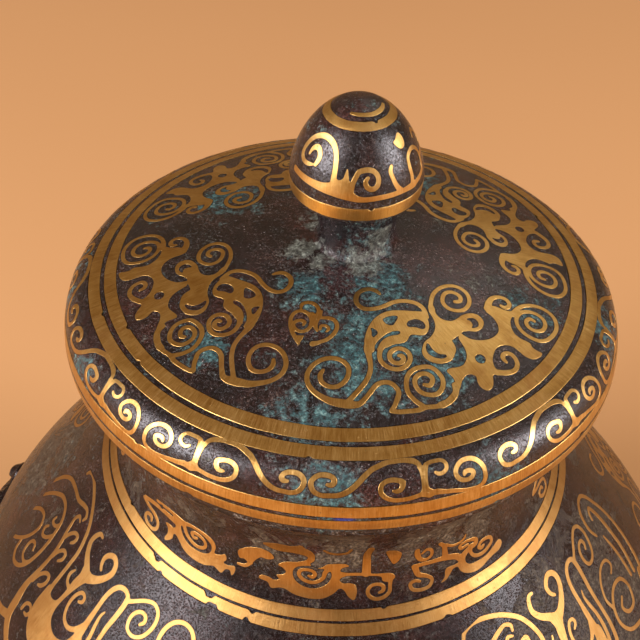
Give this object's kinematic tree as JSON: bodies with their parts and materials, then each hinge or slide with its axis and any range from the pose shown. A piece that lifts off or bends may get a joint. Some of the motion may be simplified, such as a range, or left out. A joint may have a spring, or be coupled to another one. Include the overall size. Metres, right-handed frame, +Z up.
{
  "type": "inlaid bronze lidded jar",
  "caption": "Round-bellied bronze jar with short neck, overlapping drum lid with bud knob, gold strip and cloud-scroll inlay, and swinging ring handles on mask lugs.",
  "frame": {"origin": "middle of the foot's underside", "axes": "+Z up along the jar's axis; ring handles at -X and +X; the picture looks from the -Y side, about 13 degrees towards +X"},
  "size_m": [0.2234, 0.1912, 0.2456],
  "materials": {
    "bronze": "dark patinated cast bronze, waxed, with green and pale corrosion",
    "gold_inlay": "hammered and stone-polished gold, finely scratched",
    "tin_solder": "dull grey solder"
  },
  "bodies": {
    "jar": {"jar_body": "bronze", "neck_base_upper_band": "gold_inlay", "neck_base_lower_band": "gold_inlay", "belly_upper_band": "gold_inlay", "belly_lower_band": "gold_inlay", "foot_band": "gold_inlay", "left_mask_lug": "bronze", "right_mask_lug": "bronze", "left_lug_washer": "tin_solder", "right_lug_washer": "tin_solder"},
    "lid": {"lid_shell": "bronze", "knob": "bronze", "knob_tenon_washer": "tin_solder", "lid_top_inner_band": "gold_inlay", "lid_top_outer_band": "gold_inlay", "lid_rim_upper_band": "gold_inlay", "lid_rim_lower_band": "gold_inlay", "knob_base_band": "gold_inlay", "knob_crown_ring": "gold_inlay"},
    "ring_left": {"left_ring": "bronze"},
    "ring_right": {"right_ring": "bronze"}
  },
  "joints": [
    {"name": "lid_lift", "type": "slide", "parent": "jar", "child": "lid", "axis": [0, 0, 1], "range_m": [0, 0.12]},
    {"name": "left_ring_swing", "type": "hinge", "parent": "jar", "child": "ring_left", "pos_m": [-0.1044, 0, 0.0746], "axis": [0, 1, 0], "range_deg": [0, 100]},
    {"name": "right_ring_swing", "type": "hinge", "parent": "jar", "child": "ring_right", "pos_m": [0.1044, 0, 0.0746], "axis": [0, -1, 0], "range_deg": [0, 100]}
  ]
}
